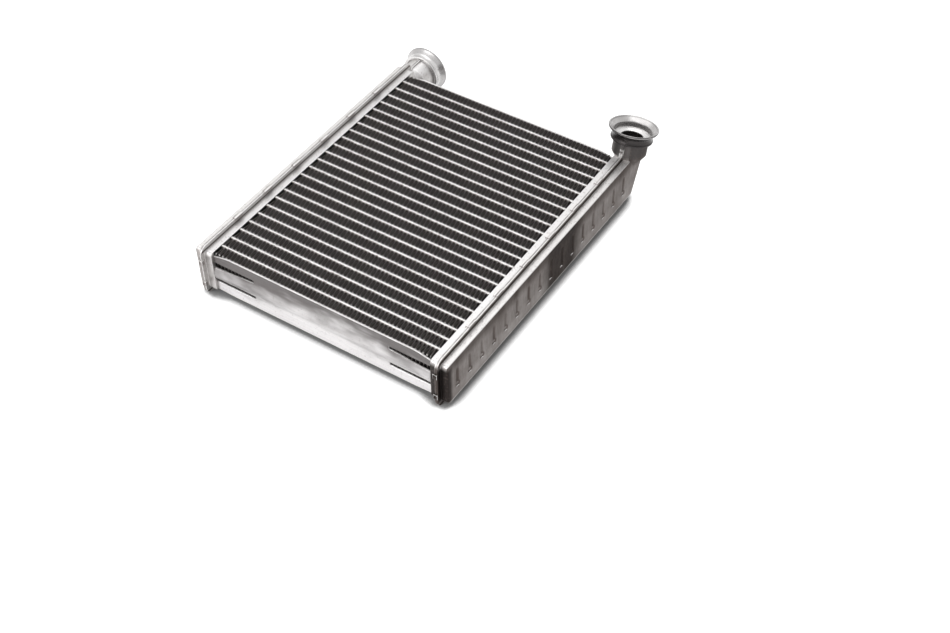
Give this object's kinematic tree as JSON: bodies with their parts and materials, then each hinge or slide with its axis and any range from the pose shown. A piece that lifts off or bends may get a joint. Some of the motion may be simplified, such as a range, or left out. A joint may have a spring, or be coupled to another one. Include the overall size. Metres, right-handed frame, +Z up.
{
  "type": "engine heater radiator",
  "caption": "Brazed aluminium heater radiator: flat tubes with folded fins between two slim crimped tanks, each with a pipe neck and a flared collar.",
  "frame": {"origin": "bottom centre of the whole part's box, on the surface that it lies on", "axes": "+X along the flat tubes from the left tank to the right tank, +Y along the tanks towards the pipe necks, +Z up through the core's depth"},
  "size_m": [0.1754, 0.21, 0.049],
  "materials": {
    "tube": "satin",
    "fin": "matte",
    "plate": "satin",
    "tank": "satin",
    "collar": "satin"
  },
  "bodies": {
    "root": {"tube_01": "tube", "tube_02": "tube", "tube_03": "tube", "tube_04": "tube", "tube_05": "tube", "tube_06": "tube", "tube_07": "tube", "tube_08": "tube", "tube_09": "tube", "tube_10": "tube", "tube_11": "tube", "tube_12": "tube", "tube_13": "tube", "tube_14": "tube", "tube_15": "tube", "tube_16": "tube", "tube_17": "tube", "tube_18": "tube", "tube_19": "tube", "tube_20": "tube", "tube_21": "tube", "tube_22": "tube", "tube_23": "tube", "fin_01": "fin", "fin_02": "fin", "fin_03": "fin", "fin_04": "fin", "fin_05": "fin", "fin_06": "fin", "fin_07": "fin", "fin_08": "fin", "fin_09": "fin", "fin_10": "fin", "fin_11": "fin", "fin_12": "fin", "fin_13": "fin", "fin_14": "fin", "fin_15": "fin", "fin_16": "fin", "fin_17": "fin", "fin_18": "fin", "fin_19": "fin", "fin_20": "fin", "fin_21": "fin", "fin_22": "fin", "fin_23": "fin", "fin_24": "fin", "near_side_plate": "plate", "far_side_plate": "plate", "left_header": "tank", "left_tank": "tank", "left_collar": "collar", "right_header": "tank", "right_tank": "tank", "right_collar": "collar"}
  },
  "joints": []
}
